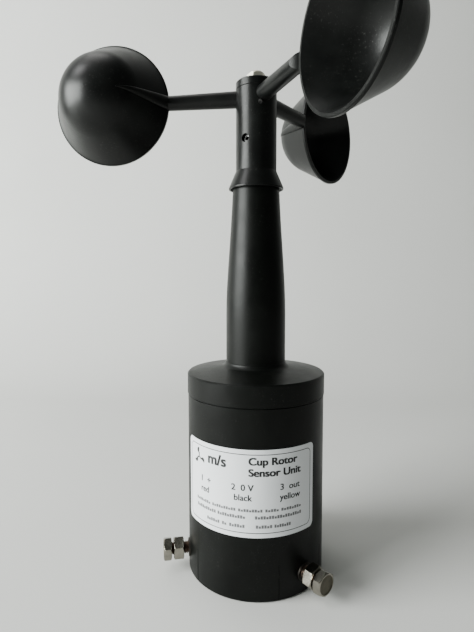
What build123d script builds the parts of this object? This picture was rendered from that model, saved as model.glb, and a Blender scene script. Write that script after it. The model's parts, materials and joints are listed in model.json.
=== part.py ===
"""Cup anemometer: a three-cup rotor on a spindle, a moulded neck with two ball bearings, and a
housing that slips over a mast and holds the pulse board. Millimetres, +Z up along the spindle,
origin at the middle of the mast socket's mouth. Azimuths are in degrees from -Y towards +X."""

import os
from math import asin, atan2, cos, hypot, pi, radians, sin, sqrt

from build123d import *

# ---------------------------------------------------------------- driving dimensions
# Housing and mast socket
HOUSING_R = 34.0
HOUSING_TOP = 88.6
SOCKET_R = 26.0
SOCKET_DEPTH = 36.0
PARTITION_T = 6.0
CHAMBER_R = 30.5
HOUSING_EDGE = 0.6
SEAM_CHAMFER = 0.35
WITNESS_HEIGHT = 16.5
WITNESS_OFFSET = 24.0
WITNESS_WIDTH = 0.4
WITNESS_DEPTH = 0.3

# Clamp bolts, M6, three round the socket
BOLT_AZIMUTHS = (-77.5, 42.5, 162.5)
BOLT_Z = 9.8
THREAD_R = 3.0
THREAD_PITCH = 1.0
HEX_ACROSS_FLATS = 10.0
HEAD_T = 4.0
NUT_T = 5.0
HEAD_UNDERSIDE_R = 43.0
NUT_OUTER_R = 42.0
BOLT_LENGTH = 16.0
FLANGE_R = 4.3
FLANGE_FACE_R = 34.5
FLANGE_T = 1.0
INSERT_IN_R = 27.0
INSERT_R = 4.0
# The bolts stand at different angles of turn, as they were left.
BOLT_TURNS = (24.0, 29.0, 10.0)
NUT_TURNS = (27.0, 12.0, 40.0)

# Neck and cap, one moulding
CAP_R = 34.3
CAP_TOP = 99.05
CAP_SLOPE_END_R, CAP_SLOPE_END_Z = 17.4, 101.6
NECK_R = 14.85
NECK_ROOT = 104.1
NECK_STRAIGHT_END = 127.0
NECK_TOP_R = 11.45
NECK_TOP = 193.0
SPIGOT_BOTTOM = 78.0
SPIGOT_WALL = 2.5
CAP_ROOF = 95.0
NECK_BORE_R = 6.4

# Bearings 696 and spindle
BEARING_OUTER_R = 7.5
BEARING_INNER_R = 3.0
BEARING_T = 5.0
BALL_R = 1.2
BALL_COUNT = 8
BALL_CIRCLE_R = 5.2
UPPER_BEARING_Z = 184.0
LOWER_BEARING_Z = 98.0
SPINDLE_BOTTOM = 64.0
SPINDLE_SHOULDER = 236.5
SPINDLE_TIP = 244.8

# Rotor
HUB_R = 10.0
HUB_TOP = 240.7
SKIRT_BOTTOM = 189.1
SKIRT_R = 13.53
SKIRT_WALL = 1.0
SKIRT_TOP = 198.0
ARM_Z = 233.1
REST_TURN = -6.2
ARM_ANGLES = tuple(REST_TURN + turn for turn in (180.0, 300.0, 60.0))
ARM_ROOT_R = 4.02
ARM_END_R = 3.5
ARM_SPIGOT_R = 3.4
ARM_SPIGOT_IN = 5.2
CUP_CENTRE_R = 74.0
CUP_R = 29.9
CUP_DEPTH = 30.4
CUP_NOSE_R = 22.9
CUP_WALL = 1.5
CUP_LIP = 1.5
CUP_LIP_STEP = 0.45
RIM_AHEAD = 0.9
RIDGE_END_R = 12.5
ARM_BEVEL = 7.0
HUB_SCREW_AZIMUTH = -32.4
HUB_SCREW_Z = 212.3

# Pulse board and cable socket
BOARD_Z = 60.0
BOARD_T = 1.6
BOARD_R = 27.0
STANDOFF_CIRCLE_R = 20.0
CASE_SCREW_CIRCLE_R = 22.0
CASE_SCREW_AZIMUTHS = (0.0, 120.0, 240.0)
STANDOFF_AZIMUTHS = (60.0, 180.0, 300.0)
CARRIER_Z = 66.0
CARRIER_R = 13.0
MAGNET_COUNT = 8
MAGNET_R = 1.5
MAGNET_CIRCLE_R = 10.5
SOCKET_SHELL_R = 8.0
PIN_COUNT = 7

PARTITION_TOP = SOCKET_DEPTH + PARTITION_T

os.makedirs("parts", exist_ok=True)


# ---------------------------------------------------------------- helpers
def save(part, name):
    """Labels a finished piece and writes it as one STEP file."""
    part.label = name
    export_step(part, f"parts/{name}.step")


def polar(radius, azimuth, z=0.0):
    """A point at an azimuth measured from -Y towards +X."""
    a = radians(azimuth)
    return Vector(radius * sin(a), -radius * cos(a), z)


def outward_plane(radius, azimuth, z):
    """A plane whose normal points away from the spindle at an azimuth, with its Y axis up."""
    out = polar(1.0, azimuth)
    return Plane(origin=polar(radius, azimuth, z), x_dir=Vector(0, 0, 1).cross(out), z_dir=out)


def ring(inner_r, outer_r, z0, z1):
    """A plain washer-shaped solid about the spindle."""
    with BuildPart() as made:
        with BuildSketch(Plane.XY.offset(z0)):
            Circle(outer_r)
            Circle(inner_r, mode=Mode.SUBTRACT)
        extrude(amount=z1 - z0)
    return made.part


def revolved(points):
    """A solid of revolution about the spindle from (radius, z) corners."""
    with BuildPart() as made:
        with BuildSketch(Plane.XZ):
            with BuildLine():
                Polyline(*points, close=True)
            make_face()
        revolve(axis=Axis.Z)
    return made.part


def hex_prism(plane, across_flats, height, turn):
    """A hexagonal prism whose two ends are chamfered as a bolt head is."""
    corner_r = across_flats / sqrt(3)
    flat_r = across_flats / 2
    rise = (corner_r - flat_r) * 0.6
    with BuildPart() as made:
        with BuildSketch(plane):
            RegularPolygon(corner_r, 6, rotation=turn)
        extrude(amount=height)
    with BuildPart() as envelope:
        with BuildSketch(Plane.XZ):
            with BuildLine():
                Polyline(
                    (0, 0), (flat_r, 0), (corner_r, rise), (corner_r, height - rise),
                    (flat_r, height), (0, height), close=True,
                )
            make_face()
        revolve(axis=Axis.Z)
    return made.part & envelope.part.moved(plane.location)


def pan_head_screw(base, direction_plane, shank_r, length, head_r, head_t):
    """A pan-head screw: the head stands on the plane, the shank runs back from it."""
    with BuildPart() as made:
        with BuildSketch(direction_plane):
            Circle(head_r)
        extrude(amount=head_t)
        fillet(made.edges().group_by(Axis(base, direction_plane.z_dir))[-1], head_t * 0.45)
        with BuildSketch(direction_plane):
            Circle(shank_r)
        extrude(amount=-length)
        top = direction_plane.offset(head_t)
        with BuildSketch(top):
            with Locations((0, 0)):
                Rectangle(head_r * 1.1, head_r * 0.28)
                Rectangle(head_r * 0.28, head_r * 1.1)
        extrude(amount=-head_t * 0.45, mode=Mode.SUBTRACT)
    return made.part


# ---------------------------------------------------------------- housing
def make_housing():
    """Lower tube: mast socket below the partition, board chamber above it."""
    top, r = HOUSING_TOP, HOUSING_R
    with BuildPart() as housing:
        with BuildSketch(Plane.XZ):
            with BuildLine():
                Polyline(
                    (SOCKET_R, 0), (r - HOUSING_EDGE, 0), (r, HOUSING_EDGE),
                    (r, top - SEAM_CHAMFER), (r - SEAM_CHAMFER, top),
                    (CHAMBER_R, top), (CHAMBER_R, PARTITION_TOP),
                    (SOCKET_SHELL_R, PARTITION_TOP), (SOCKET_SHELL_R, SOCKET_DEPTH),
                    (SOCKET_R, SOCKET_DEPTH), close=True,
                )
            make_face()
        revolve(axis=Axis.Z)
        for azimuth in BOLT_AZIMUTHS:
            with BuildSketch(outward_plane(INSERT_IN_R, azimuth, BOLT_Z)):
                Circle(INSERT_R)
            extrude(amount=10.0, mode=Mode.SUBTRACT)
            with BuildSketch(outward_plane(SOCKET_R - 2.0, azimuth, BOLT_Z)):
                Circle(THREAD_R + 0.15)
            extrude(amount=5.0, mode=Mode.SUBTRACT)
            with BuildSketch(outward_plane(FLANGE_FACE_R - FLANGE_T, azimuth, BOLT_Z)):
                Circle(FLANGE_R)
            extrude(amount=5.0, mode=Mode.SUBTRACT)
            for side in (-WITNESS_OFFSET, WITNESS_OFFSET):
                with BuildSketch(outward_plane(r - WITNESS_DEPTH, azimuth + side, 0)):
                    Rectangle(WITNESS_WIDTH, WITNESS_HEIGHT, align=(Align.CENTER, Align.MIN))
                extrude(amount=1.0, mode=Mode.SUBTRACT)
        for azimuth in CASE_SCREW_AZIMUTHS:
            with Locations(polar(CASE_SCREW_CIRCLE_R, azimuth, PARTITION_TOP)):
                Hole(1.6, depth=PARTITION_T)
            with Locations(polar(CASE_SCREW_CIRCLE_R, azimuth, SOCKET_DEPTH + 3.0)):
                Hole(3.2, depth=3.0)
        for azimuth in STANDOFF_AZIMUTHS:
            with Locations(polar(STANDOFF_CIRCLE_R, azimuth, PARTITION_TOP)):
                Hole(1.5, depth=4.0)
        for azimuth in CASE_SCREW_AZIMUTHS:
            with Locations(polar(10.5, azimuth + 20, PARTITION_TOP)):
                Hole(1.1, depth=3.5)
    save(housing.part, "housing")


def make_thread_inserts():
    """Flanged M6 bushes, pressed into the wall from outside."""
    with BuildPart() as inserts:
        for azimuth in BOLT_AZIMUTHS:
            with BuildSketch(outward_plane(INSERT_IN_R, azimuth, BOLT_Z)):
                Circle(INSERT_R)
            extrude(amount=FLANGE_FACE_R - INSERT_IN_R)
            with BuildSketch(outward_plane(FLANGE_FACE_R - FLANGE_T, azimuth, BOLT_Z)):
                Circle(FLANGE_R)
            extrude(amount=FLANGE_T)
            with BuildSketch(outward_plane(INSERT_IN_R, azimuth, BOLT_Z)):
                Circle(THREAD_R)
            extrude(amount=10.0, mode=Mode.SUBTRACT)
    save(inserts.part, "thread_inserts")


def make_clamp_screws():
    """One hexagon bolt and one lock nut at each azimuth."""
    for number, azimuth in enumerate(BOLT_AZIMUTHS):
        under_head = outward_plane(HEAD_UNDERSIDE_R, azimuth, BOLT_Z)
        head = hex_prism(under_head, HEX_ACROSS_FLATS, HEAD_T, BOLT_TURNS[number])
        with BuildPart() as bolt:
            add(head)
            with BuildSketch(under_head):
                Circle(THREAD_R - 0.03)
            extrude(amount=-BOLT_LENGTH)
            tip = outward_plane(HEAD_UNDERSIDE_R - BOLT_LENGTH, azimuth, BOLT_Z)
            chamfer(bolt.edges().sort_by(Axis(tip.origin, tip.z_dir))[0], 0.6)
        save(bolt.part, f"clamp_bolt_{number + 1}")

        nut_plane = outward_plane(NUT_OUTER_R - NUT_T, azimuth, BOLT_Z)
        body = hex_prism(nut_plane, HEX_ACROSS_FLATS, NUT_T, NUT_TURNS[number])
        with BuildPart() as nut:
            add(body)
            with BuildSketch(nut_plane):
                Circle(THREAD_R)
            extrude(amount=NUT_T, mode=Mode.SUBTRACT)
        save(nut.part, f"clamp_nut_{number + 1}")


# ---------------------------------------------------------------- neck and cap
def make_neck_cap():
    """The domed cap and the tapering neck in one moulding, with both bearing seats."""
    seat_r = BEARING_OUTER_R
    lower_top = LOWER_BEARING_Z + BEARING_T
    with BuildPart() as neck:
        with BuildSketch(Plane.XZ):
            with BuildLine():
                Line((CHAMBER_R, HOUSING_TOP), (CAP_R - SEAM_CHAMFER, HOUSING_TOP))
                Line((CAP_R - SEAM_CHAMFER, HOUSING_TOP), (CAP_R, HOUSING_TOP + SEAM_CHAMFER))
                Line((CAP_R, HOUSING_TOP + SEAM_CHAMFER), (CAP_R, CAP_TOP - 0.7))
                Line((CAP_R, CAP_TOP - 0.7), (CAP_R - 0.7, CAP_TOP))
                Line((CAP_R - 0.7, CAP_TOP), (CAP_SLOPE_END_R, CAP_SLOPE_END_Z))
                TangentArc(
                    (CAP_SLOPE_END_R, CAP_SLOPE_END_Z), (NECK_R + 0.3, NECK_ROOT - 0.3),
                    tangent=(CAP_SLOPE_END_R - CAP_R, CAP_SLOPE_END_Z - CAP_TOP),
                )
                Line((NECK_R + 0.3, NECK_ROOT - 0.3), (NECK_R, NECK_ROOT))
                Line((NECK_R, NECK_ROOT), (NECK_R, NECK_STRAIGHT_END))
                Spline(
                    (NECK_R, NECK_STRAIGHT_END), (14.1, 147.5), (12.7, 168.0),
                    (NECK_TOP_R, NECK_TOP - 2.6), tangents=((0, 1), (-0.045, 1)),
                )
                Polyline(
                    (NECK_TOP_R, NECK_TOP - 2.6), (9.9, NECK_TOP - 0.4), (9.5, NECK_TOP),
                    (seat_r, NECK_TOP), (seat_r, UPPER_BEARING_Z),
                    (NECK_BORE_R, UPPER_BEARING_Z), (NECK_BORE_R, lower_top),
                    (seat_r, lower_top), (seat_r, CAP_ROOF - 4.0), (12.0, CAP_ROOF - 4.0),
                    (12.0, CAP_ROOF), (CHAMBER_R - SPIGOT_WALL, CAP_ROOF),
                    (CHAMBER_R - SPIGOT_WALL, SPIGOT_BOTTOM), (CHAMBER_R, SPIGOT_BOTTOM),
                    (CHAMBER_R, HOUSING_TOP),
                )
            make_face()
        revolve(axis=Axis.Z)
        for azimuth in CASE_SCREW_AZIMUTHS:
            with BuildSketch(Plane.XY.offset(SPIGOT_BOTTOM + 1.0)):
                with Locations(polar(CASE_SCREW_CIRCLE_R, azimuth)):
                    Circle(4.0)
            extrude(amount=CAP_ROOF - SPIGOT_BOTTOM)
        for azimuth in CASE_SCREW_AZIMUTHS:
            with BuildSketch(Plane.XY.offset(SPIGOT_BOTTOM)):
                with Locations(polar(CASE_SCREW_CIRCLE_R, azimuth)):
                    Circle(1.5)
            extrude(amount=14.0, mode=Mode.SUBTRACT)
        # Seal groove round the spigot and retaining-ring grooves in both bearing seats.
        groove = ring(CHAMBER_R - 1.4, CHAMBER_R + 0.2, SPIGOT_BOTTOM + 4.0, SPIGOT_BOTTOM + 6.2)
        add(groove, mode=Mode.SUBTRACT)
        for low in (UPPER_BEARING_Z + BEARING_T + 0.05, LOWER_BEARING_Z - 2.05):
            add(ring(seat_r - 0.5, seat_r + 0.5, low, low + 1.0), mode=Mode.SUBTRACT)
    save(neck.part, "neck_cap")


def make_seals_and_rings():
    """The cap's seal ring, the two retaining rings and the preload washer."""
    with BuildPart() as seal:
        with BuildSketch(Plane.XZ):
            with Locations((CHAMBER_R - 0.9, SPIGOT_BOTTOM + 5.1)):
                RectangleRounded(1.0, 1.8, 0.45)
                with Locations((0.4, 0)):
                    RectangleRounded(1.0, 1.2, 0.45)
        revolve(axis=Axis.Z)
    save(seal.part, "cap_seal")

    ring_lows = {
        "upper_retaining_ring": UPPER_BEARING_Z + BEARING_T + 0.05,
        "lower_retaining_ring": LOWER_BEARING_Z - 2.05,
    }
    for name, low in ring_lows.items():
        with BuildPart() as clip:
            add(ring(BEARING_OUTER_R - 1.1, BEARING_OUTER_R + 0.45, low + 0.05, low + 0.95))
            with BuildSketch(Plane.XY.offset(low)):
                with Locations((0, -BEARING_OUTER_R)):
                    Rectangle(3.6, 5.0)
            extrude(amount=1.0, mode=Mode.SUBTRACT)
            with BuildSketch(Plane.XY.offset(low + 0.05)):
                with Locations((-2.6, -6.1), (2.6, -6.1)):
                    Circle(1.1)
                    Circle(0.5, mode=Mode.SUBTRACT)
            extrude(amount=0.9)
        save(clip.part, name)

    wave = ring(5.6, 7.3, LOWER_BEARING_Z - 0.95, LOWER_BEARING_Z - 0.05)
    save(wave, "preload_washer")


# ---------------------------------------------------------------- bearings
def make_bearing(name, low):
    """Outer ring, inner ring, ball set with its cage, and two shields."""
    middle = low + BEARING_T / 2
    groove_r = BALL_R + 0.06
    outer_land, inner_land = BALL_CIRCLE_R + 0.85, BALL_CIRCLE_R - 0.85
    with BuildPart() as groove:
        with BuildSketch(Plane.XZ):
            with Locations((BALL_CIRCLE_R, middle)):
                Circle(groove_r)
        revolve(axis=Axis.Z)
    save(ring(outer_land, BEARING_OUTER_R, low, low + BEARING_T) - groove.part, f"{name}_outer_ring")
    save(ring(BEARING_INNER_R, inner_land, low, low + BEARING_T) - groove.part, f"{name}_inner_ring")

    with BuildPart() as balls:
        add(ring(BALL_CIRCLE_R - 0.5, BALL_CIRCLE_R + 0.5, middle - 0.9, middle + 0.9))
        with PolarLocations(BALL_CIRCLE_R, BALL_COUNT):
            with Locations((0, 0, middle)):
                Sphere(BALL_R)
    save(balls.part, f"{name}_balls")

    shield_t, inset = 0.25, 0.15
    with BuildPart() as shields:
        for z in (low + inset, low + BEARING_T - inset - shield_t):
            add(ring(inner_land + 0.15, outer_land, z, z + shield_t))
    save(shields.part, f"{name}_shields")


# ---------------------------------------------------------------- spindle and hub
def make_spindle():
    """Steel spindle with an M4 end, and the clip that carries it on the upper bearing."""
    clip_z = UPPER_BEARING_Z + BEARING_T
    with BuildPart() as spindle:
        with BuildSketch(Plane.XY.offset(SPINDLE_BOTTOM)):
            Circle(BEARING_INNER_R)
        extrude(amount=SPINDLE_SHOULDER - SPINDLE_BOTTOM)
        chamfer(spindle.edges().sort_by(Axis.Z)[0], 0.5)
        with BuildSketch(Plane.XY.offset(SPINDLE_SHOULDER)):
            Circle(1.95)
        extrude(amount=SPINDLE_TIP - SPINDLE_SHOULDER)
        chamfer(spindle.edges().sort_by(Axis.Z)[-1], 0.4)
        add(ring(2.4, BEARING_INNER_R + 0.5, clip_z, clip_z + 0.7), mode=Mode.SUBTRACT)
    save(spindle.part, "spindle")

    with BuildPart() as clip:
        add(ring(2.4, 4.3, clip_z, clip_z + 0.7))
        with BuildSketch(Plane.XY.offset(clip_z)):
            with Locations((0, -4.0)):
                Rectangle(4.4, 5.0)
        extrude(amount=0.7, mode=Mode.SUBTRACT)
    save(clip.part, "spindle_clip")


def skirt_outer_r(z):
    """Outer radius of the flared skirt at a height."""
    lip = SKIRT_BOTTOM + 0.7
    return SKIRT_R - (z - lip) * (SKIRT_R - HUB_R) / (SKIRT_TOP - lip)


def lock_screw_plane(angle):
    """Plane on the hub below an arm, its normal sloping out and down at 45 degrees."""
    azimuth = angle + 90.0 - 13.0
    out = polar(1.0, azimuth)
    normal = (out + Vector(0, 0, -1)).normalized()
    return Plane(origin=polar(HUB_R, azimuth, ARM_Z - 4.65), x_dir=Vector(0, 0, 1).cross(out), z_dir=normal)


def make_rotor_hub():
    """Hub with its rain skirt, three arm sockets and the screw holes."""
    lip = SKIRT_BOTTOM + 0.7
    roof = 195.0
    with BuildPart() as hub:
        with BuildSketch(Plane.XZ):
            with BuildLine():
                Polyline(
                    (BEARING_INNER_R, roof), (skirt_outer_r(roof) - SKIRT_WALL - 0.3, roof),
                    (skirt_outer_r(lip) - SKIRT_WALL - 0.1, lip), (SKIRT_R - 0.85, SKIRT_BOTTOM),
                    (SKIRT_R - 0.1, SKIRT_BOTTOM), (SKIRT_R, lip - 0.3), (SKIRT_R, lip),
                    (HUB_R, SKIRT_TOP), (HUB_R, 236.7), (HUB_R - 0.2, 236.9), (HUB_R, 237.1),
                    (HUB_R, HUB_TOP - 0.6), (HUB_R - 0.6, HUB_TOP), (1.95, HUB_TOP),
                    (1.95, SPINDLE_SHOULDER), (BEARING_INNER_R, SPINDLE_SHOULDER), close=True,
                )
            make_face()
        revolve(axis=Axis.Z)
        for angle in ARM_ANGLES:
            socket = outward_plane(ARM_SPIGOT_IN, angle + 90.0, ARM_Z)
            with BuildSketch(socket):
                Circle(ARM_SPIGOT_R)
            extrude(amount=HUB_R, mode=Mode.SUBTRACT)
            with BuildSketch(lock_screw_plane(angle).offset(1.0)):
                Circle(0.9)
            extrude(amount=-3.2, mode=Mode.SUBTRACT)
        with BuildSketch(outward_plane(BEARING_INNER_R - 0.5, HUB_SCREW_AZIMUTH, HUB_SCREW_Z)):
            Circle(2.0)
        extrude(amount=HUB_R, mode=Mode.SUBTRACT)
    save(hub.part, "rotor_hub")


def make_hub_screws():
    """Grub screw that holds the hub on the spindle, and the three small ones under the arms."""
    with BuildPart() as grub:
        with BuildSketch(outward_plane(BEARING_INNER_R + 0.05, HUB_SCREW_AZIMUTH, HUB_SCREW_Z)):
            Circle(1.97)
        extrude(amount=5.0)
        with BuildSketch(outward_plane(BEARING_INNER_R + 5.05, HUB_SCREW_AZIMUTH, HUB_SCREW_Z)):
            RegularPolygon(1.15, 6)
        extrude(amount=-2.2, mode=Mode.SUBTRACT)
    save(grub.part, "hub_grub_screw")

    with BuildPart() as locks:
        for angle in ARM_ANGLES:
            face = lock_screw_plane(angle)
            with BuildSketch(face.offset(-0.1)):
                Circle(0.88)
            extrude(amount=-0.8)
            with BuildSketch(face.offset(-0.1)):
                RegularPolygon(0.5, 6)
            extrude(amount=-0.5, mode=Mode.SUBTRACT)
    save(locks.part, "arm_lock_screws")

    save(ring(2.15, 5.0, HUB_TOP, HUB_TOP + 0.8), "hub_washer")

    nut_base = Plane.XY.offset(HUB_TOP + 0.8)
    dome_top = 246.4
    dome_edge = 3.9
    dome_z = HUB_TOP + 4.0
    dome_h = dome_top - dome_z
    dome_r = (dome_edge**2 + dome_h**2) / (2 * dome_h)
    half = 0.5 * asin(dome_edge / dome_r)
    with BuildPart() as nut:
        add(hex_prism(nut_base, 8.0, 3.0, 10.0))
        with BuildSketch(Plane.XZ):
            with BuildLine():
                base_z = HUB_TOP + 3.6
                middle = (dome_r * sin(half), dome_top - dome_r * (1 - cos(half)))
                Line((0, base_z), (dome_edge, base_z))
                Line((dome_edge, base_z), (dome_edge, dome_z))
                ThreePointArc((dome_edge, dome_z), middle, (0, dome_top))
                Line((0, dome_top), (0, base_z))
            make_face()
        revolve(axis=Axis.Z)
        with BuildSketch(nut_base):
            Circle(1.95)
        extrude(amount=SPINDLE_TIP - HUB_TOP - 0.8 + 0.1, mode=Mode.SUBTRACT)
    save(nut.part, "cap_nut")


# ---------------------------------------------------------------- cups
def cup_curve(first_s, first_r, nose_r):
    """Where the straight cone from (s, r) touches the nose sphere, in the cup's own section.

    s runs from the rim plane to the nose along the cup's axis, r out from that axis."""
    centre_s = CUP_DEPTH - CUP_NOSE_R
    reach = hypot(centre_s - first_s, first_r)
    turn = asin(nose_r / reach)
    heading = atan2(-first_r, centre_s - first_s) + turn
    length = sqrt(reach**2 - nose_r**2)
    return first_s + length * cos(heading), first_r + length * sin(heading)


def nose_mid(tangent_s, nose_r):
    """Half way round the nose arc from the tangent point to the axis."""
    centre_s = CUP_DEPTH - CUP_NOSE_R
    half = 0.5 * atan2(sqrt(nose_r**2 - (tangent_s - centre_s) ** 2), tangent_s - centre_s)
    return centre_s + nose_r * cos(half), nose_r * sin(half)


def surface_point(share):
    """A point on the cup's outer outline, 0 behind the lip and 1 at the tip of the arm's ridge."""
    start_s, start_r = CUP_LIP, CUP_R - CUP_LIP_STEP
    cone_s, cone_r = cup_curve(start_s, start_r, CUP_NOSE_R)
    cone_share = 0.62
    if share < cone_share:
        t = share / cone_share
        return start_s + (cone_s - start_s) * t, start_r + (cone_r - start_r) * t
    centre_s = CUP_DEPTH - CUP_NOSE_R
    full = atan2(cone_r, cone_s - centre_s)
    turn = full - (share - cone_share) / (1 - cone_share) * (full - asin(RIDGE_END_R / CUP_NOSE_R))
    return centre_s + CUP_NOSE_R * cos(turn), CUP_NOSE_R * sin(turn)


def make_cup():
    """One cup and its arm as a single moulding, the arm along +X, the cup open towards -Y."""
    inner_nose = CUP_NOSE_R - CUP_WALL
    start_s, start_r = CUP_LIP, CUP_R - CUP_LIP_STEP
    cone = cup_curve(start_s, start_r, CUP_NOSE_R)
    inner_start = (0.0, CUP_R - CUP_WALL)
    inner_cone = cup_curve(*inner_start, inner_nose)
    # The cup's section plane: local x is depth behind the rim, local y is distance from the axis.
    section = Plane(origin=(CUP_CENTRE_R, -RIM_AHEAD, 0), x_dir=(0, 1, 0), z_dir=(0, 0, 1))
    axis = Axis((CUP_CENTRE_R, 0, 0), (0, 1, 0))
    with BuildPart() as cavity:
        with BuildSketch(section):
            with BuildLine():
                Line((-8.0, 0), (-8.0, inner_start[1]))
                Line((-8.0, inner_start[1]), inner_start)
                Line(inner_start, inner_cone)
                ThreePointArc(
                    inner_cone, nose_mid(inner_cone[0], inner_nose), (CUP_DEPTH - CUP_WALL, 0)
                )
                Line((CUP_DEPTH - CUP_WALL, 0), (-8.0, 0))
            make_face()
        revolve(axis=axis)
    with BuildPart() as cup:
        with BuildSketch(section):
            with BuildLine():
                Line((0, 0), (0, CUP_R - 0.3))
                Line((0, CUP_R - 0.3), (0.3, CUP_R))
                Line((0.3, CUP_R), (CUP_LIP, CUP_R))
                Line((CUP_LIP, CUP_R), (start_s, start_r))
                Line((start_s, start_r), cone)
                ThreePointArc(cone, nose_mid(cone[0], CUP_NOSE_R), (CUP_DEPTH, 0))
                Line((CUP_DEPTH, 0), (0, 0))
            make_face()
        revolve(axis=axis)
        # Tapered arm, from its collar on the hub to the cup's wall.
        arm_end = CUP_CENTRE_R - CUP_R + 4.0
        with BuildSketch(Plane.YZ.offset(HUB_R - 1.5)):
            Circle(ARM_ROOT_R)
        with BuildSketch(Plane.YZ.offset(arm_end)):
            Circle(ARM_END_R)
        loft()
        # Ridge that carries the arm on over the back of the cup.
        stations = 7
        for k in range(stations):
            s, r = surface_point(k / (stations - 1))
            s2, r2 = surface_point(min(1.0, k / (stations - 1) + 0.02))
            s1, r1 = surface_point(max(0.0, k / (stations - 1) - 0.02))
            along = Vector(-(r2 - r1), s2 - s1, 0)
            size = ARM_END_R * 0.92 * (1 - k / (stations - 1)) ** 0.8 + 0.25
            here = Plane(
                origin=(CUP_CENTRE_R - r, s - RIM_AHEAD, 0), x_dir=(0, 0, 1), z_dir=along * -1.0
            )
            with BuildSketch(here):
                Ellipse(size, size * 0.75)
        loft()
        add(cavity.part, mode=Mode.SUBTRACT)
        # The arm's front curves back to the rim plane where it meets the rim.
        rim_x = CUP_CENTRE_R - CUP_R
        front = -RIM_AHEAD - ARM_END_R
        with BuildSketch(Plane.XY.offset(-8.0)):
            with BuildLine():
                TangentArc((rim_x - ARM_BEVEL, front), (rim_x, -RIM_AHEAD), tangent=(1, 0))
                Polyline(
                    (rim_x, -RIM_AHEAD), (rim_x + 8.0, -RIM_AHEAD), (rim_x + 8.0, front - 2.0),
                    (rim_x - ARM_BEVEL, front - 2.0), (rim_x - ARM_BEVEL, front),
                )
            make_face()
        extrude(amount=16.0, mode=Mode.SUBTRACT)
        # The arm's collar is trimmed to the hub's round.
        with BuildSketch(Plane.XY.offset(-8.0)):
            Circle(HUB_R)
        extrude(amount=16.0, mode=Mode.SUBTRACT)
        with BuildSketch(Plane.YZ.offset(ARM_SPIGOT_IN)):
            Circle(ARM_SPIGOT_R)
        extrude(amount=HUB_R - ARM_SPIGOT_IN + 1.0)
    return cup.part


def make_cups():
    """The same moulding three times, a third of a turn apart."""
    cup = make_cup()
    for number, angle in enumerate(ARM_ANGLES):
        save(cup.moved(Location((0, 0, ARM_Z), (0, 0, angle))), f"cup_arm_{number + 1}")


# ---------------------------------------------------------------- label
def make_label():
    """The name label, a thin sticker wrapped on the front of the housing."""
    thickness, z0, z1 = 0.15, 30.35, 70.35
    first, last = -66.6, 51.4
    with BuildPart() as label:
        with BuildSketch(Plane.XY.offset(z0)):
            with BuildLine():
                for r in (HOUSING_R, HOUSING_R + thickness):
                    CenterArc((0, 0), r, first - 90.0, last - first)
                for edge in (first, last):
                    a, b = polar(HOUSING_R, edge), polar(HOUSING_R + thickness, edge)
                    Line((a.X, a.Y), (b.X, b.Y))
            make_face()
        extrude(amount=z1 - z0)
        fillet(label.edges().filter_by(lambda e: abs(e.length - thickness) < 0.01), 2.4)
    save(label.part, "name_label")


# ---------------------------------------------------------------- electronics
def make_case_screws():
    """Long screws from the socket up through the partition into the cap."""
    with BuildPart() as screws:
        for azimuth in CASE_SCREW_AZIMUTHS:
            seat = polar(CASE_SCREW_CIRCLE_R, azimuth, SOCKET_DEPTH + 3.0)
            under = Plane(origin=seat, x_dir=(1, 0, 0), z_dir=(0, 0, -1))
            add(pan_head_screw(seat, under, 1.45, 51.0, 2.8, 2.2))
    save(screws.part, "case_screws")


def make_board():
    """Round circuit board on three brass pillars, with its screws."""
    with BuildPart() as board:
        with BuildSketch(Plane.XY.offset(BOARD_Z)):
            Circle(BOARD_R)
            for azimuth in CASE_SCREW_AZIMUTHS:
                spot = polar(CASE_SCREW_CIRCLE_R, azimuth)
                with Locations((spot.X, spot.Y)):
                    Circle(2.2, mode=Mode.SUBTRACT)
            for azimuth in STANDOFF_AZIMUTHS:
                spot = polar(STANDOFF_CIRCLE_R, azimuth)
                with Locations((spot.X, spot.Y)):
                    Circle(1.6, mode=Mode.SUBTRACT)
        extrude(amount=BOARD_T)
    save(board.part, "circuit_board")

    with BuildPart() as pillars:
        for azimuth in STANDOFF_AZIMUTHS:
            spot = polar(STANDOFF_CIRCLE_R, azimuth)
            with BuildSketch(Plane.XY.offset(PARTITION_TOP)):
                with Locations((spot.X, spot.Y)):
                    RegularPolygon(2.75, 6, major_radius=False)
            extrude(amount=BOARD_Z - PARTITION_TOP)
            with BuildSketch(Plane.XY.offset(PARTITION_TOP - 3.8)):
                with Locations((spot.X, spot.Y)):
                    Circle(1.48)
            extrude(amount=3.8)
            with BuildSketch(Plane.XY.offset(BOARD_Z - 6.0)):
                with Locations((spot.X, spot.Y)):
                    Circle(1.48)
            extrude(amount=6.0, mode=Mode.SUBTRACT)
    save(pillars.part, "board_pillars")

    with BuildPart() as screws:
        for azimuth in STANDOFF_AZIMUTHS:
            seat = polar(STANDOFF_CIRCLE_R, azimuth, BOARD_Z + BOARD_T)
            face = Plane(origin=seat, x_dir=(1, 0, 0), z_dir=(0, 0, 1))
            add(pan_head_screw(seat, face, 1.45, 5.5, 2.7, 1.9))
    save(screws.part, "board_screws")


def block(centre, size, z0, turn=0.0):
    """A box standing at a height, turned about its own upright axis."""
    with BuildPart() as made:
        with BuildSketch(Plane.XY.offset(z0)):
            with Locations(Location((centre[0], centre[1], 0), (0, 0, turn))):
                Rectangle(size[0], size[1])
        extrude(amount=size[2])
    return made.part


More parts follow.
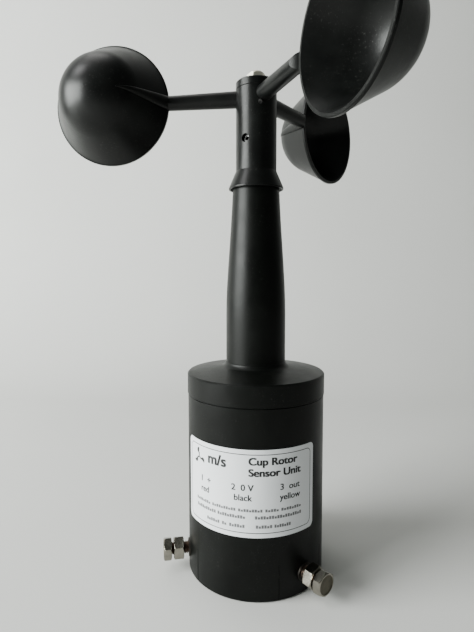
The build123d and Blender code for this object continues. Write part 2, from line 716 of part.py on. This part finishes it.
def make_board_parts():
    """Hall sensor, three-way terminal, and the few parts that shape the pulse."""
    top = BOARD_Z + BOARD_T
    with BuildPart() as hall:
        add(block((0, -MAGNET_CIRCLE_R), (4.0, 1.5, 3.1), top + 0.6))
        for x in (-1.27, 0.0, 1.27):
            add(block((x, -MAGNET_CIRCLE_R), (0.45, 0.4, 0.7), top))
    save(hall.part, "hall_sensor")

    with BuildPart() as terminal:
        add(block((0, 13.5), (15.0, 7.0, 8.5), BOARD_Z - 8.5))
        for x in (-5.0, 0.0, 5.0):
            with BuildSketch(Plane.XZ.offset(-10.0)):
                with Locations((x, BOARD_Z - 5.5)):
                    Circle(1.25)
            extrude(amount=-4.0, mode=Mode.SUBTRACT)
    save(terminal.part, "terminal_block")

    with BuildPart() as chips:
        add(block((-9.5, 3.5), (4.9, 3.9, 1.5), top, 25.0))
        add(block((9.0, 6.0), (3.2, 1.6, 0.9), top, -40.0))
        add(block((10.5, 1.0), (2.0, 1.25, 0.7), top))
        add(block((7.5, -4.0), (2.0, 1.25, 0.7), top, 90.0))
        with BuildSketch(Plane.XY.offset(top)):
            with Locations((-5.5, -18.5)):
                Circle(2.5)
        extrude(amount=5.4)
    save(chips.part, "board_chips")


def make_magnet_carrier():
    """Disc on the spindle's lower end with a ring of small magnets facing the board."""
    with BuildPart() as carrier:
        with BuildSketch(Plane.XY.offset(CARRIER_Z)):
            Circle(CARRIER_R)
        extrude(amount=3.0)
        with BuildSketch(Plane.XY.offset(CARRIER_Z + 3.0)):
            Circle(6.0)
        extrude(amount=6.0)
        with BuildSketch(Plane.XY.offset(CARRIER_Z)):
            Circle(BEARING_INNER_R)
        extrude(amount=9.0, mode=Mode.SUBTRACT)
        with BuildSketch(Plane.XY.offset(CARRIER_Z)):
            with PolarLocations(MAGNET_CIRCLE_R, MAGNET_COUNT):
                Circle(MAGNET_R)
        extrude(amount=2.0, mode=Mode.SUBTRACT)
        with BuildSketch(outward_plane(BEARING_INNER_R - 0.5, 90.0, CARRIER_Z + 6.0)):
            Circle(1.5)
        extrude(amount=6.0, mode=Mode.SUBTRACT)
    save(carrier.part, "magnet_carrier")

    with BuildPart() as magnets:
        with BuildSketch(Plane.XY.offset(CARRIER_Z)):
            with PolarLocations(MAGNET_CIRCLE_R, MAGNET_COUNT):
                Circle(MAGNET_R)
        extrude(amount=2.0)
    save(magnets.part, "magnets")

    with BuildPart() as grub:
        with BuildSketch(outward_plane(BEARING_INNER_R + 0.05, 90.0, CARRIER_Z + 6.0)):
            Circle(1.47)
        extrude(amount=2.8)
        with BuildSketch(outward_plane(BEARING_INNER_R + 2.85, 90.0, CARRIER_Z + 6.0)):
            RegularPolygon(0.85, 6)
        extrude(amount=-1.3, mode=Mode.SUBTRACT)
    save(grub.part, "carrier_grub_screw")


# ---------------------------------------------------------------- cable socket and leads
PIN_SPOTS = [(0.0, 0.0)] + [
    (4.0 * cos(k * pi / 3), 4.0 * sin(k * pi / 3)) for k in range(PIN_COUNT - 1)
]


def make_cable_socket():
    """Seven-pin round socket in the partition, facing down into the mast."""
    mouth, face = SOCKET_DEPTH + 0.4, PARTITION_TOP + 1.0
    flange_top = PARTITION_TOP + 2.4
    shell = revolved([
        (6.7, mouth), (SOCKET_SHELL_R - 0.05, mouth), (SOCKET_SHELL_R - 0.05, PARTITION_TOP + 0.6),
        (12.4, PARTITION_TOP + 0.6), (12.4, flange_top), (SOCKET_SHELL_R, flange_top),
        (SOCKET_SHELL_R, flange_top + 3.0), (6.7, flange_top + 3.0),
    ])
    with BuildPart() as body:
        add(shell)
        for azimuth in CASE_SCREW_AZIMUTHS:
            with Locations(polar(10.5, azimuth + 20, flange_top)):
                Hole(1.2, depth=2.4)
    save(body.part, "socket_shell")
    with BuildPart() as gasket:
        add(ring(SOCKET_SHELL_R, 12.4, PARTITION_TOP, PARTITION_TOP + 0.6))
        for azimuth in CASE_SCREW_AZIMUTHS:
            with Locations(polar(10.5, azimuth + 20, PARTITION_TOP + 0.6)):
                Hole(1.2, depth=0.6)
    save(gasket.part, "socket_gasket")

    with BuildPart() as insert:
        with BuildSketch(Plane.XY.offset(face)):
            Circle(6.7)
        extrude(amount=4.0)
        with BuildSketch(Plane.XY.offset(face)):
            with Locations(*PIN_SPOTS):
                Circle(0.75)
        extrude(amount=4.0, mode=Mode.SUBTRACT)
    save(insert.part, "socket_insert")

    with BuildPart() as pins:
        with BuildSketch(Plane.XY.offset(mouth + 1.4)):
            with Locations(*PIN_SPOTS):
                Circle(0.75)
        extrude(amount=face + 6.0 - mouth - 1.4)
    save(pins.part, "socket_pins")

    with BuildPart() as screws:
        for azimuth in CASE_SCREW_AZIMUTHS:
            seat = polar(10.5, azimuth + 20, flange_top)
            plane = Plane(origin=seat, x_dir=(1, 0, 0), z_dir=(0, 0, 1))
            add(pan_head_screw(seat, plane, 1.05, 5.0, 1.7, 1.2))
    save(screws.part, "socket_screws")


def make_leads():
    """Three insulated leads, from the terminal down to the socket's pins."""
    start_z = BOARD_Z - 5.5
    pin_top = PARTITION_TOP + 1.0 + 6.0
    routes = {"lead_red": (-5.0, PIN_SPOTS[3]), "lead_black": (0.0, PIN_SPOTS[2]),
              "lead_yellow": (5.0, PIN_SPOTS[1])}
    for name, (x, pin) in routes.items():
        points = [(x, 12.0, start_z), (x, 7.5, start_z), (pin[0], pin[1], pin_top + 2.0),
                  (pin[0], pin[1], pin_top)]
        with BuildPart() as lead:
            with BuildLine():
                FilletPolyline(*points, radius=0.9)
            with BuildSketch(Plane(origin=points[0], z_dir=(0, -1, 0))):
                Circle(0.6)
            sweep()
        save(lead.part, name)


make_housing()
make_thread_inserts()
make_clamp_screws()
make_neck_cap()
make_seals_and_rings()
make_bearing("upper_bearing", UPPER_BEARING_Z)
make_bearing("lower_bearing", LOWER_BEARING_Z)
make_spindle()
make_rotor_hub()
make_hub_screws()
make_cups()
make_label()
make_case_screws()
make_board()
make_board_parts()
make_magnet_carrier()
make_cable_socket()
make_leads()
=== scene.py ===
"""Looks for the cup anemometer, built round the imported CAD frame. Metres, +Z up, origin at the
middle of the mast socket's mouth. Azimuths are in degrees from -Y towards +X, as in the CAD."""

import json
from math import ceil, cos, hypot, pi, radians, sin

import bpy
import bmesh
from mathutils import Matrix, Vector


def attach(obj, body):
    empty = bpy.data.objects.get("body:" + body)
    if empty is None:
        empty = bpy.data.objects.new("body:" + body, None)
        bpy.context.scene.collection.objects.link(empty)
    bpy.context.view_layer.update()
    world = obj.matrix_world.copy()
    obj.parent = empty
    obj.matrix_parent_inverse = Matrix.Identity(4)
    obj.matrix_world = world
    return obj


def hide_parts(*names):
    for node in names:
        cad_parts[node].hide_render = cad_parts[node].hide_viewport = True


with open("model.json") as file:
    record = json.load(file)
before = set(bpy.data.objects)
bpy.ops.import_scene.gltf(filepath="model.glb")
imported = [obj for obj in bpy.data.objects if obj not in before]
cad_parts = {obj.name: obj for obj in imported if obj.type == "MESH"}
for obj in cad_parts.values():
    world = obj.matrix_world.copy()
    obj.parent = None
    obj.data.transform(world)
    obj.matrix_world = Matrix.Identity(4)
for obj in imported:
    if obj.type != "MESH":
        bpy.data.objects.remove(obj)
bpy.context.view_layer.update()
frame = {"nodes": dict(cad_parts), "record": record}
MM = 0.001

# Driving sizes, in millimetres, the same as the CAD's.
BOLT_AZIMUTHS = (-77.5, 42.5, 162.5)
BOLT_Z = 9.8
BOLT_TURNS = (24.0, 29.0, 10.0)
NUT_TURNS = (27.0, 12.0, 40.0)
HEAD_UNDERSIDE_R, HEAD_T, BOLT_LENGTH = 43.0, 4.0, 16.0
NUT_OUTER_R, NUT_T = 42.0, 5.0
ACROSS_FLATS = 10.0
THREAD_R, THREAD_PITCH, THREAD_DEPTH = 2.96, 1.0, 0.55
DISH_DEPTH, DISH_RIM = 0.30, 0.08
LABEL_R = 34.15
LABEL_MID_AZIMUTH = -7.6
LABEL_MID_Z = 50.35
LABEL_W, LABEL_H = 70.0, 40.0
PRINT_LIFT = 0.02
PRINT_CUT = 0.5
BORDER_INSET, BORDER_LINE, BORDER_CORNER = 2.0, 0.35, 2.6


# ---------------------------------------------------------------- mesh helpers
def mesh_object(name, verts, faces, smooth=True):
    """An object from vertices in millimetres."""
    mesh = bpy.data.meshes.new(name)
    mesh.from_pydata([Vector(v) * MM for v in verts], [], faces)
    mesh.update()
    if smooth:
        mesh.shade_smooth()
    thing = bpy.data.objects.new(name, mesh)
    bpy.context.scene.collection.objects.link(thing)
    return thing


def outward_frame(radius, azimuth, z, turn=0.0):
    """Matrix, in millimetres, whose Z axis leaves the spindle at an azimuth and whose Y axis is up."""
    a = radians(azimuth)
    out = Vector((sin(a), -cos(a), 0.0))
    side = Vector((0.0, 0.0, 1.0)).cross(out)
    basis = Matrix((side, (0.0, 0.0, 1.0), out)).transposed().to_4x4()
    basis.translation = out * radius + Vector((0.0, 0.0, z))
    return basis @ Matrix.Rotation(radians(turn), 4, "Z")


def surface_of_rings(name, rings, place, closed_ends=True):
    """A closed skin over rings of equal point counts, each a list of (x, y, z) in millimetres."""
    count = len(rings[0])
    verts = [place @ Vector(p) for ring in rings for p in ring]
    faces = []
    for k in range(len(rings) - 1):
        for i in range(count):
            j = (i + 1) % count
            faces.append((k * count + i, k * count + j, (k + 1) * count + j, (k + 1) * count + i))
    if closed_ends:
        faces.append(tuple(reversed(range(count))))
        last = (len(rings) - 1) * count
        faces.append(tuple(last + i for i in range(count)))
    return mesh_object(name, verts, faces)


def hex_radius(angle, across_flats, sharpness=400.0):
    """Distance from a hexagon's centre to its edge, with slightly rounded corners."""
    total = sum(max(0.0, cos(angle - radians(30 + 60 * k))) ** sharpness for k in range(6))
    return across_flats / 2 * total ** (-1 / sharpness)


def sharpen(thing, degrees_limit=28.0):
    """Keeps smooth shading on round faces and hard edges elsewhere."""
    bpy.context.view_layer.objects.active = thing
    mesh = thing.data
    edit = bmesh.new()
    edit.from_mesh(mesh)
    for edge in edit.edges:
        edge.smooth = edge.calc_face_angle(0.0) < radians(degrees_limit)
    edit.to_mesh(mesh)
    edit.free()


# ---------------------------------------------------------------- materials
def new_material(name):
    made = bpy.data.materials.new(name)
    made.use_nodes = True
    tree = made.node_tree
    return made, tree.nodes, tree.links, tree.nodes["Principled BSDF"]


def noise(nodes, links, scale, detail=3.0, rough=0.5, stretch=(1.0, 1.0, 1.0)):
    """A noise texture in the part's own metres."""
    place = nodes.new("ShaderNodeTexCoord")
    mapping = nodes.new("ShaderNodeMapping")
    mapping.inputs["Scale"].default_value = stretch
    made = nodes.new("ShaderNodeTexNoise")
    made.inputs["Scale"].default_value = scale
    made.inputs["Detail"].default_value = detail
    made.inputs["Roughness"].default_value = rough
    links.new(place.outputs["Object"], mapping.inputs["Vector"])
    links.new(mapping.outputs["Vector"], made.inputs["Vector"])
    return made.outputs["Fac"]


def ramp(nodes, links, source, stops):
    """A colour ramp over a value; stops are (position, colour)."""
    made = nodes.new("ShaderNodeValToRGB")
    band = made.color_ramp
    while len(band.elements) < len(stops):
        band.elements.new(0.5)
    for element, (position, colour) in zip(band.elements, stops):
        element.position = position
        element.color = (*colour, 1.0)
    links.new(source, made.inputs["Fac"])
    return made.outputs["Color"]


def spread(nodes, links, source, low, high, start=0.3, end=0.7):
    """A value mapped from start..end to low..high."""
    made = nodes.new("ShaderNodeMapRange")
    made.inputs["From Min"].default_value = start
    made.inputs["From Max"].default_value = end
    made.inputs["To Min"].default_value = low
    made.inputs["To Max"].default_value = high
    links.new(source, made.inputs["Value"])
    return made.outputs["Result"]


def bump(nodes, links, shader, height, distance, strength=1.0):
    made = nodes.new("ShaderNodeBump")
    made.inputs["Distance"].default_value = distance
    made.inputs["Strength"].default_value = strength
    links.new(height, made.inputs["Height"])
    links.new(made.outputs["Normal"], shader.inputs["Normal"])


def plastic(name, dark, light, rough_low, rough_high, grain=2600.0, grain_depth=0.00002, dust=0.0,
            gloss=0.5):
    """Moulded black plastic: fine grain, faint handling marks, and a little settled dust."""
    made, nodes, links, shader = new_material(name)
    marks = noise(nodes, links, 55.0, 6.0, 0.62)
    tint = ramp(nodes, links, marks, [(0.30, dark), (0.75, light)])
    specks = noise(nodes, links, 1100.0, 2.0, 0.7)
    patches = noise(nodes, links, 70.0, 3.0)
    if dust:
        speck_mask = spread(nodes, links, specks, 0.0, 1.0, 0.60, 0.76)
        patch_mask = spread(nodes, links, patches, 0.0, dust, 0.42, 0.66)
        both = nodes.new("ShaderNodeMath")
        both.operation = "MULTIPLY"
        links.new(speck_mask, both.inputs[0])
        links.new(patch_mask, both.inputs[1])
        mix = nodes.new("ShaderNodeMix")
        mix.data_type = "RGBA"
        mix.inputs["B"].default_value = (0.30, 0.30, 0.28, 1.0)
        links.new(both.outputs["Value"], mix.inputs["Factor"])
        links.new(tint, mix.inputs["A"])
        tint = mix.outputs["Result"]
    links.new(tint, shader.inputs["Base Color"])
    links.new(spread(nodes, links, marks, rough_low, rough_high), shader.inputs["Roughness"])
    shader.inputs["Specular IOR Level"].default_value = gloss
    bump(nodes, links, shader, noise(nodes, links, grain, 2.0), grain_depth)
    return made


def metal(name, dark, light, rough_low, rough_high, grain=900.0, stretch=(1.0, 1.0, 1.0)):
    """Plated or ground metal with uneven tone and fine tool marks."""
    made, nodes, links, shader = new_material(name)
    cloud = noise(nodes, links, 260.0, 5.0, 0.6)
    links.new(ramp(nodes, links, cloud, [(0.3, dark), (0.7, light)]), shader.inputs["Base Color"])
    marks = noise(nodes, links, grain, 4.0, 0.7, stretch)
    links.new(spread(nodes, links, marks, rough_low, rough_high), shader.inputs["Roughness"])
    shader.inputs["Metallic"].default_value = 1.0
    bump(nodes, links, shader, marks, 0.000006, 0.5)
    return made


MATERIALS = {
    "black_housing": plastic("black_housing_finish", (0.0010, 0.0013, 0.0010), (0.0028, 0.0034, 0.0028),
                             0.33, 0.46, dust=0.07, gloss=0.13),
    "black_rotor": plastic("black_rotor_finish", (0.0014, 0.0016, 0.0015), (0.0050, 0.0056, 0.0052),
                           0.27, 0.42, dust=0.10, gloss=0.18),
    "plated_steel": metal("plated_steel_finish", (0.20, 0.19, 0.16), (0.32, 0.30, 0.26), 0.12, 0.24),
    "top_nut": metal("top_nut_finish", (0.60, 0.57, 0.48), (0.80, 0.77, 0.68), 0.34, 0.46),
    "painted_shade_steel": metal("painted_shade_steel_finish", (0.05, 0.045, 0.032), (0.09, 0.082, 0.06), 0.30, 0.42),
    "thread_steel": metal("thread_steel_finish", (0.10, 0.065, 0.05), (0.19, 0.14, 0.11), 0.28, 0.42),
    # Painted shade: darker metal for the inside of the bolt heads' end-face dishes.
    "black_steel": metal("black_steel_finish", (0.05, 0.05, 0.05), (0.12, 0.12, 0.12), 0.30, 0.45),
    "bright_steel": metal("bright_steel_finish", (0.52, 0.52, 0.52), (0.68, 0.68, 0.67), 0.15, 0.28),
    "brass": metal("brass_finish", (0.62, 0.45, 0.20), (0.78, 0.60, 0.30), 0.22, 0.36),
    "insert_metal": metal("insert_finish", (0.05, 0.045, 0.04), (0.10, 0.09, 0.08), 0.35, 0.5),
    "socket_metal": metal("socket_finish", (0.50, 0.50, 0.48), (0.64, 0.64, 0.62), 0.22, 0.35),
    "magnet_metal": metal("magnet_finish", (0.60, 0.60, 0.60), (0.75, 0.75, 0.75), 0.10, 0.20),
    "seal_rubber": plastic("seal_finish", (0.012, 0.012, 0.012), (0.02, 0.02, 0.02), 0.6, 0.7),
    "label_film": plastic("label_finish", (0.66, 0.68, 0.70), (0.72, 0.73, 0.75), 0.28, 0.36,
                          grain=1500.0, grain_depth=0.000004),
    "board_laminate": plastic("board_finish", (0.010, 0.10, 0.045), (0.015, 0.15, 0.06), 0.25, 0.35),
    "chip_black": plastic("chip_finish", (0.015, 0.015, 0.016), (0.03, 0.03, 0.032), 0.4, 0.5),
    "terminal_green": plastic("terminal_finish", (0.02, 0.22, 0.08), (0.03, 0.30, 0.11), 0.35, 0.45),
    "carrier_plastic": plastic("carrier_finish", (0.55, 0.54, 0.50), (0.62, 0.61, 0.57), 0.35, 0.45),
    "lead_red": plastic("lead_red_finish", (0.45, 0.012, 0.010), (0.55, 0.02, 0.015), 0.35, 0.45),
    "lead_black": plastic("lead_black_finish", (0.012, 0.012, 0.012), (0.02, 0.02, 0.02), 0.35, 0.45),
    "lead_yellow": plastic("lead_yellow_finish", (0.62, 0.42, 0.02), (0.72, 0.50, 0.03), 0.35, 0.45),
    "grey_ink": plastic("grey_ink_finish", (0.10, 0.10, 0.105), (0.14, 0.14, 0.145), 0.35, 0.5,
                        1500.0, 0.000003),
    "ink": plastic("ink_finish", (0.008, 0.008, 0.009), (0.014, 0.014, 0.015), 0.35, 0.5, 1500.0, 0.000003),
}


def give(thing, slot_name):
    """Puts a finish on every material slot of an object."""
    if not thing.material_slots:
        thing.data.materials.append(MATERIALS[slot_name])
    for place in thing.material_slots:
        place.material = MATERIALS[slot_name]


def dress_cad_nodes():
    for part in frame["record"]["subparts"]:
        give(frame["nodes"][part["node"]], part["material_slot"])
    # The nut and washer on the hub are cleaner than the clamp screws.
    give(frame["nodes"]["cap_nut"], "top_nut")
    give(frame["nodes"]["hub_washer"], "top_nut")


# ---------------------------------------------------------------- clamp screws
def hex_rings(height, across_flats):
    """Rings of a hexagon head or nut from z = 0 up, chamfered to a circle at its ends."""
    steps, slope = 144, 0.55
    end_circle = across_flats / 2 * 0.96
    near_end = [0.0, 0.12, 0.25, 0.4, 0.6, 0.9]
    rings = []
    for h in near_end + [height - h for h in reversed(near_end)]:
        limit = end_circle + min(h, height - h) / slope
        ring = []
        for i in range(steps):
            a = 2 * pi * i / steps
            r = min(hex_radius(a, across_flats), limit)
            ring.append((r * cos(a), r * sin(a), h))
        rings.append(ring)
    return rings


def dished_top(rings, depth, lip):
    """Closes a head with a face slightly lower in the middle than at its edge."""
    top = rings[-1]
    z = top[0][2]
    for share, drop in ((1.0 - lip, 0.0), (1.0 - lip * 1.6, depth), (0.3, depth * 1.1)):
        rings.append([(x * share, y * share, z - drop) for x, y, _ in top])
    return rings


def thread_rings(length, radius, pitch, depth):
    """Rings of a right-hand screw thread running from z = 0 back to z = -length."""
    steps = 48
    rows = int(ceil(length / pitch * 8))
    rings = []
    for k in range(rows + 1):
        z = -length * k / rows
        fade = min(1.0, length + z)
        ring = []
        for i in range(steps):
            a = 2 * pi * i / steps
            phase = (z / pitch - a / (2 * pi)) % 1.0
            crest = 1.0 - abs(2.0 * phase - 1.0)
            r = radius - depth * (1.0 - min(1.0, crest * 1.25))
            r -= (1.0 - fade) * 0.6
            ring.append((r * cos(a), r * sin(a), z))
        rings.append(ring)
    return rings


def clamp_screws():
    """A threaded bolt and its lock nut for each of the three clamp positions."""
    for number, azimuth in enumerate(BOLT_AZIMUTHS):
        body_bolt, body_nut = f"clamp_bolt_{number + 1}", f"clamp_nut_{number + 1}"
        place = outward_frame(HEAD_UNDERSIDE_R, azimuth, BOLT_Z, BOLT_TURNS[number])
        head = surface_of_rings(f"bolt_head_{number + 1}",
                                dished_top(hex_rings(HEAD_T, ACROSS_FLATS), DISH_DEPTH, DISH_RIM), place)
        sharpen(head)
        darken_end_face(head, place)
        shank = surface_of_rings(f"bolt_thread_{number + 1}",
                                 thread_rings(BOLT_LENGTH, THREAD_R, THREAD_PITCH, THREAD_DEPTH),
                                 place)
        nut_place = outward_frame(NUT_OUTER_R - NUT_T, azimuth, BOLT_Z, NUT_TURNS[number])
        nut = nut_piece(f"lock_nut_{number + 1}", nut_place)
        give(shank, "thread_steel")
        give(nut, "plated_steel")
        for piece, body in ((head, body_bolt), (shank, body_bolt), (nut, body_nut)):
            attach(piece, body)
        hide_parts(body_bolt)
        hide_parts(body_bolt)
        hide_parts(body_nut)


def darken_end_face(head, place):
    """Gives a bolt head its plated finish, with darker metal painted inside the rim of its end face as
    shade in the dish.
    """
    head.data.materials.append(MATERIALS["plated_steel"])
    # Darker metal painted into the end-face dish as shade.
    head.data.materials.append(MATERIALS["painted_shade_steel"])
    back = place.inverted()
    for face in head.data.polygons:
        corners = [back @ (head.data.vertices[i].co / MM) for i in face.vertices]
        in_dish = all(hypot(c.x, c.y) < ACROSS_FLATS / 2 * 0.9 and c.z > HEAD_T / 2 for c in corners)
        face.material_index = 1 if in_dish else 0


def nut_piece(name, place):
    """A hexagon nut with a countersunk plain hole."""
    rings = hex_rings(NUT_T, ACROSS_FLATS)
    steps = len(rings[0])
    for r, z in ((3.5, NUT_T), (3.02, NUT_T - 0.5), (3.02, 0.5), (3.5, 0.0)):
        rings.append([(r * cos(2 * pi * i / steps), r * sin(2 * pi * i / steps), z)
                      for i in range(steps)])
    rings.append(rings[0])
    nut = surface_of_rings(name, rings, place, closed_ends=False)
    edit = bmesh.new()
    edit.from_mesh(nut.data)
    bmesh.ops.remove_doubles(edit, verts=edit.verts, dist=1e-7)
    edit.to_mesh(nut.data)
    edit.free()
    sharpen(nut)
    return nut


# ---------------------------------------------------------------- label printing
def on_label(x, y):
    """A point on the label from its own flat coordinates, in millimetres from its middle."""
    angle = radians(LABEL_MID_AZIMUTH) + x / LABEL_R
    r = LABEL_R + PRINT_LIFT
    return Vector((r * sin(angle), -r * cos(angle), LABEL_MID_Z + y))


def wrap(thing):
    """Bends a flat mesh, in millimetres, round the label, cut finely enough to follow it."""
    edit = bmesh.new()
    edit.from_mesh(thing.data)
    lows = min(v.co.x for v in edit.verts)
    highs = max(v.co.x for v in edit.verts)
    x = lows + PRINT_CUT
    while x < highs:
        geometry = edit.verts[:] + edit.edges[:] + edit.faces[:]
        bmesh.ops.bisect_plane(edit, geom=geometry, plane_co=(x, 0, 0), plane_no=(1, 0, 0))
        x += PRINT_CUT
    for vert in edit.verts:
        vert.co = on_label(vert.co.x, vert.co.y) * MM
    bmesh.ops.recalc_face_normals(edit, faces=edit.faces)
    edit.to_mesh(thing.data)
    edit.free()
    thing.matrix_world = Matrix.Identity(4)


def printed_text(name, words, x, y, size, weight, width):
    """One line of print on the label; x, y is where its baseline starts, size its capital height, and
    weight how far apart its overlapping copies stand, which thickens the strokes."""
    curve = bpy.data.curves.new(name, "FONT")
    curve.body = words
    curve.size = size / 0.7
    letters = bpy.data.objects.new(name + "_curve", curve)
    bpy.context.scene.collection.objects.link(letters)
    bpy.context.view_layer.update()
    graph = bpy.context.evaluated_depsgraph_get()
    mesh = bpy.data.meshes.new_from_object(letters.evaluated_get(graph))
    bpy.data.objects.remove(letters)
    mesh.transform(Matrix.Diagonal((width, 1.0, 1.0, 1.0)))
    mesh.transform(Matrix.Translation((x, y, 0.0)))
    edit = bmesh.new()
    for shift in ((0.0, 0.0), (weight, 0.0), (0.0, weight * 0.5), (weight, weight * 0.5)):
        copy = mesh.copy()
        copy.transform(Matrix.Translation((*shift, 0.0)))
        edit.from_mesh(copy)
        bpy.data.meshes.remove(copy)
    edit.to_mesh(mesh)
    edit.free()
    thing = bpy.data.objects.new(name, mesh)
    bpy.context.scene.collection.objects.link(thing)
    wrap(thing)
    return thing


def flat_shape(name, verts, faces):
    mesh = bpy.data.meshes.new(name)
    mesh.from_pydata([(x, y, 0.0) for x, y in verts], [], faces)
    thing = bpy.data.objects.new(name, mesh)
    bpy.context.scene.collection.objects.link(thing)
    wrap(thing)
    return thing


def rounded_outline(half_w, half_h, radius, steps=8):
    points = []
    for cx, cy, start in ((1, 1, 0), (-1, 1, 90), (-1, -1, 180), (1, -1, 270)):
        for k in range(steps + 1):
            a = radians(start + 90 * k / steps)
            points.append((cx * (half_w - radius) + radius * cos(a),
                           cy * (half_h - radius) + radius * sin(a)))
    return points


def border():
    """The thin line printed just inside the label's edge."""
    half_w, half_h = LABEL_W / 2 - BORDER_INSET, LABEL_H / 2 - BORDER_INSET
    outer = rounded_outline(half_w, half_h, BORDER_CORNER)
    inner = rounded_outline(half_w - BORDER_LINE, half_h - BORDER_LINE, BORDER_CORNER - BORDER_LINE)
    count = len(outer)
    faces = [(i, (i + 1) % count, count + (i + 1) % count, count + i) for i in range(count)]
    return flat_shape("label_border", outer + inner, faces)


def rotor_symbol(x, y, size):
    """A plain three-cup symbol: three arms and three half rounds."""
    verts, faces = [], []

    def add_loop(points):
        first = len(verts)
        verts.extend(points)
        faces.append(tuple(range(first, first + len(points))))

    for turn in (90, 210, 330):
        a = radians(turn)
        along, across = (cos(a), sin(a)), (-sin(a), cos(a))

        def at(u, v):
            return (x + size * (u * along[0] + v * across[0]), y + size * (u * along[1] + v * across[1]))

        add_loop([at(0.0, -0.09), at(0.50, -0.09), at(0.50, 0.09), at(0.0, 0.09)])
        add_loop([at(0.74 + 0.36 * cos(radians(k)), 0.42 * sin(radians(k))) for k in range(0, 181, 15)])
    return flat_shape("label_symbol", verts, faces)


# Words on the label: text, where it starts, its baseline, capital height, weight and width.
WORDS = (
    ("Cup Rotor", 1.2, 13.1, 3.3, 0.46, 1.10), ("Sensor Unit", 1.2, 8.0, 3.3, 0.46, 1.10),
    ("m/s", -19.4, 11.0, 4.9, 0.55, 1.02),
    ("1  +", -24.2, 1.4, 2.8, 0.22, 1.05), ("red", -23.9, -3.2, 2.8, 0.22, 1.0),
    ("2  0 V", -6.6, 1.4, 2.8, 0.22, 1.05), ("black", -5.4, -3.2, 2.8, 0.22, 1.0),
    ("3  out", 15.6, 1.4, 2.8, 0.22, 1.05), ("yellow", 15.6, -3.2, 2.8, 0.22, 1.0),
)
# Small print shown as plain bars: height on the label, bar height, and each bar's start and end.
SMALL_PRINT = (
    (-8.2, 1.35, ((-27.0, -17.4), (-16.4, -4.2), (-3.2, 8.0), (9.0, 15.4), (16.4, 27.0))),
    (-11.4, 1.5, ((-26.6, -14.2), (-13.4, 0.2), (4.4, 27.2))),
    (-15.6, 1.5, ((-19.6, -12.2), (-11.0, -8.6), (-7.4, 0.0), (4.8, 12.4), (13.2, 21.4))),
)


def small_print(number, y, height, bars):
    """One row of plain bars, each broken into short uneven pieces like words set very small."""
    verts, faces = [], []
    for start, end in bars:
        pieces = max(2, round((end - start) / 1.25))
        step = (end - start) / pieces
        for k in range(pieces):
            left, right = start + k * step, start + (k + 0.80) * step
            rise = height * (0.72 if k % 3 == 1 else 1.0)
            first = len(verts)
            verts += [(left, y), (right, y), (right, y + rise), (left, y + rise)]
            faces.append((first, first + 1, first + 2, first + 3))
    return flat_shape(f"label_bars_{number}", verts, faces)


def label_print():
    """Border, symbol, generic words and bars."""
    dark = [border(), rotor_symbol(-25.4, 12.2, 3.9)]
    for number, line in enumerate(WORDS):
        dark.append(printed_text(f"label_text_{number + 1}", *line))
    grey = [small_print(number + 1, *row) for number, row in enumerate(SMALL_PRINT)]
    for piece in dark + grey:
        give(piece, "ink" if piece in dark else "grey_ink")
        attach(piece, "base")


# ---------------------------------------------------------------- stage, lights and camera
def stage():
    """A pale floor that curves up into a pale wall behind."""
    half, front, back, height, bend = 1.6, -0.6, 0.55, 1.6, 0.25
    profile = [(front, 0.0), (back - bend, 0.0)]
    for k in range(1, 13):
        a = radians(90 * k / 12)
        profile.append((back - bend + bend * sin(a), bend - bend * cos(a)))
    profile.append((back, height))
    verts, faces = [], []
    for y, z in profile:
        verts.extend([(-half, y, z), (half, y, z)])
    for k in range(len(profile) - 1):
        faces.append((2 * k, 2 * k + 1, 2 * k + 3, 2 * k + 2))
    mesh = bpy.data.meshes.new("backdrop")
    mesh.from_pydata(verts, [], faces)
    mesh.shade_smooth()
    backdrop = bpy.data.objects.new("backdrop", mesh)
    bpy.context.scene.collection.objects.link(backdrop)
    paper, nodes, links, shader = new_material("backdrop_paper")
    tone = noise(nodes, links, 3.0, 3.0)
    links.new(ramp(nodes, links, tone, [(0.3, (0.50, 0.50, 0.485)), (0.7, (0.54, 0.54, 0.525))]),
              shader.inputs["Base Color"])
    shader.inputs["Roughness"].default_value = 0.85
    backdrop.data.materials.append(paper)


def area_light(name, place, target, size, power, colour=(1.0, 1.0, 1.0), size_y=None):
    light = bpy.data.lights.new(name, "AREA")
    light.energy = power
    light.color = colour
    light.size = size
    if size_y:
        light.shape = "RECTANGLE"
        light.size_y = size_y
    lamp = bpy.data.objects.new(name, light)
    lamp.location = place
    lamp.rotation_euler = (Vector(target) - Vector(place)).to_track_quat("-Z", "Y").to_euler()
    bpy.context.scene.collection.objects.link(lamp)


def lights():
    """A broad window on the left, a dim room, a little light from above, and a wash on the wall."""
    world = bpy.data.worlds.new("dim_room")
    world.use_nodes = True
    world.node_tree.nodes["Background"].inputs["Color"].default_value = (0.85, 0.92, 0.88, 1.0)
    world.node_tree.nodes["Background"].inputs["Strength"].default_value = 0.16
    bpy.context.scene.world = world
    middle = (0.0, 0.0, 0.15)
    area_light("window", (-1.05, -0.42, 0.40), middle, 0.85, 50.0, (0.96, 1.0, 0.97), 0.62)
    area_light("top_bounce", (-0.35, 0.15, 1.25), middle, 0.5, 3.0, (1.0, 0.99, 0.97))
    area_light("wall_wash", (-1.0, -0.30, 1.30), (-0.25, 0.6, 0.2), 0.5, 10.0)


def camera():
    view = bpy.data.cameras.new("photo_view")
    view.sensor_width = 36.0
    view.lens = 26.93
    view.shift_x = 0.0012
    view.shift_y = -0.0183
    view.clip_start = 0.01
    eye = bpy.data.objects.new("photo_view", view)
    eye.location = (0.0, -0.2374, 0.1478)
    forward = Vector((-0.0413, 0.9970, -0.0649))
    eye.rotation_euler = forward.to_track_quat("-Z", "Y").to_euler()
    bpy.context.scene.collection.objects.link(eye)
    bpy.context.scene.camera = eye


dress_cad_nodes()
clamp_screws()
label_print()
stage()
lights()
camera()
